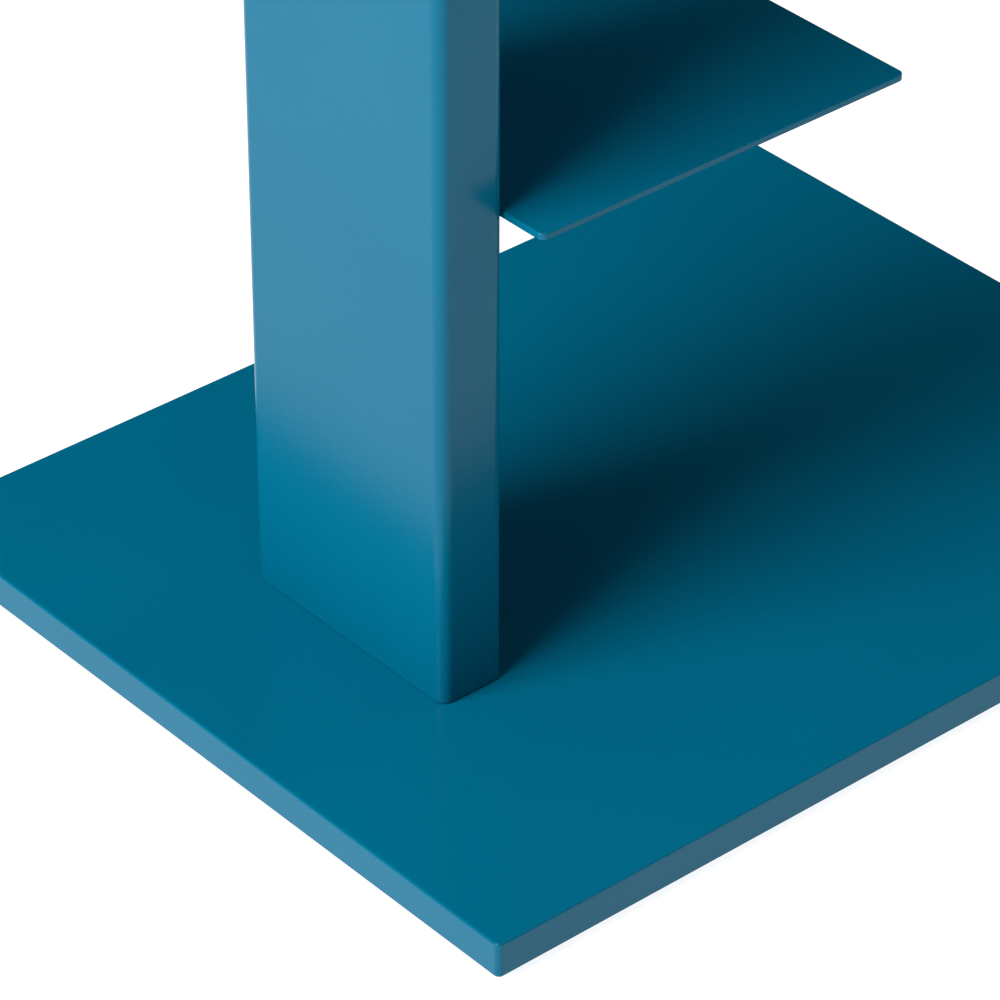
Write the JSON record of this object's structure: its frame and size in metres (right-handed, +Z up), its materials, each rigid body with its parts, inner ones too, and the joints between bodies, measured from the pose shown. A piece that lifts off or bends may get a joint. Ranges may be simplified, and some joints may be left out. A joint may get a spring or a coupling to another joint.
{
  "type": "column bookshelf",
  "caption": "Free-standing column bookshelf: flat folded-steel upright on a heavy base plate, thin cantilevered shelves hooked into keyholes, and levelling feet.",
  "frame": {"origin": "on the floor, under the centre of the base plate", "axes": "+Z up along the column, the shelves reach out towards -Y (front), +X to the right seen from the front"},
  "size_m": [0.35, 0.445, 1.622],
  "materials": {
    "powder_coat": "fine satin powder coat",
    "moulded_cap": "moulded, fine grain",
    "bare_steel": "sawn and milled",
    "zinc_plated_steel": "bright zinc plate",
    "moulded_nylon": "moulded, matt"
  },
  "bodies": {
    "column_and_base": {"base_plate": "powder_coat", "column_tube": "powder_coat", "foot_block": "bare_steel", "column_screws": "zinc_plated_steel", "top_cap": "moulded_cap", "anchor_nut": "zinc_plated_steel"},
    "hung_shelf_1": {"shelf_1": "powder_coat", "shelf_studs_1": "zinc_plated_steel"},
    "hung_shelf_2": {"shelf_2": "powder_coat", "shelf_studs_2": "zinc_plated_steel"},
    "hung_shelf_3": {"shelf_3": "powder_coat", "shelf_studs_3": "zinc_plated_steel"},
    "hung_shelf_4": {"shelf_4": "powder_coat", "shelf_studs_4": "zinc_plated_steel"},
    "hung_shelf_5": {"shelf_5": "powder_coat", "shelf_studs_5": "zinc_plated_steel"},
    "hung_shelf_6": {"shelf_6": "powder_coat", "shelf_studs_6": "zinc_plated_steel"},
    "hung_shelf_7": {"shelf_7": "powder_coat", "shelf_studs_7": "zinc_plated_steel"},
    "foot_front_left": {"glide_foot_front_left": "moulded_nylon"},
    "screw_front_left": {"glide_screw_front_left": "zinc_plated_steel"},
    "foot_front_right": {"glide_foot_front_right": "moulded_nylon"},
    "screw_front_right": {"glide_screw_front_right": "zinc_plated_steel"},
    "foot_back_left": {"glide_foot_back_left": "moulded_nylon"},
    "screw_back_left": {"glide_screw_back_left": "zinc_plated_steel"},
    "foot_back_right": {"glide_foot_back_right": "moulded_nylon"},
    "screw_back_right": {"glide_screw_back_right": "zinc_plated_steel"}
  },
  "joints": [
    {"name": "shelf_1_lift", "type": "slide", "parent": "column_and_base", "child": "hung_shelf_1", "axis": [0, 0, 1], "range_m": [0, 0.009]},
    {"name": "shelf_2_lift", "type": "slide", "parent": "column_and_base", "child": "hung_shelf_2", "axis": [0, 0, 1], "range_m": [0, 0.009]},
    {"name": "shelf_3_lift", "type": "slide", "parent": "column_and_base", "child": "hung_shelf_3", "axis": [0, 0, 1], "range_m": [0, 0.009]},
    {"name": "shelf_4_lift", "type": "slide", "parent": "column_and_base", "child": "hung_shelf_4", "axis": [0, 0, 1], "range_m": [0, 0.009]},
    {"name": "shelf_5_lift", "type": "slide", "parent": "column_and_base", "child": "hung_shelf_5", "axis": [0, 0, 1], "range_m": [0, 0.009]},
    {"name": "shelf_6_lift", "type": "slide", "parent": "column_and_base", "child": "hung_shelf_6", "axis": [0, 0, 1], "range_m": [0, 0.009]},
    {"name": "shelf_7_lift", "type": "slide", "parent": "column_and_base", "child": "hung_shelf_7", "axis": [0, 0, 1], "range_m": [0, 0.009]},
    {"name": "glide_front_left_height", "type": "slide", "parent": "column_and_base", "child": "foot_front_left", "axis": [0, 0, 1], "range_m": [-0.0018, 0.0018]},
    {"name": "glide_front_left_turn", "type": "hinge", "parent": "foot_front_left", "child": "screw_front_left", "pos_m": [-0.14, -0.1875, 0.009], "axis": [0, 0, 1], "range_deg": [-540, 540]},
    {"name": "glide_front_right_height", "type": "slide", "parent": "column_and_base", "child": "foot_front_right", "axis": [0, 0, 1], "range_m": [-0.0018, 0.0018]},
    {"name": "glide_front_right_turn", "type": "hinge", "parent": "foot_front_right", "child": "screw_front_right", "pos_m": [0.14, -0.1875, 0.009], "axis": [0, 0, 1], "range_deg": [-540, 540]},
    {"name": "glide_back_left_height", "type": "slide", "parent": "column_and_base", "child": "foot_back_left", "axis": [0, 0, 1], "range_m": [-0.0018, 0.0018]},
    {"name": "glide_back_left_turn", "type": "hinge", "parent": "foot_back_left", "child": "screw_back_left", "pos_m": [-0.14, 0.1875, 0.009], "axis": [0, 0, 1], "range_deg": [-540, 540]},
    {"name": "glide_back_right_height", "type": "slide", "parent": "column_and_base", "child": "foot_back_right", "axis": [0, 0, 1], "range_m": [-0.0018, 0.0018]},
    {"name": "glide_back_right_turn", "type": "hinge", "parent": "foot_back_right", "child": "screw_back_right", "pos_m": [0.14, 0.1875, 0.009], "axis": [0, 0, 1], "range_deg": [-540, 540]}
  ],
  "couplings": [
    {"joint": "glide_front_left_turn", "follows": "glide_front_left_height", "rad_per_m": 5026.5},
    {"joint": "glide_front_right_turn", "follows": "glide_front_right_height", "rad_per_m": 5026.5},
    {"joint": "glide_back_left_turn", "follows": "glide_back_left_height", "rad_per_m": 5026.5},
    {"joint": "glide_back_right_turn", "follows": "glide_back_right_height", "rad_per_m": 5026.5}
  ]
}
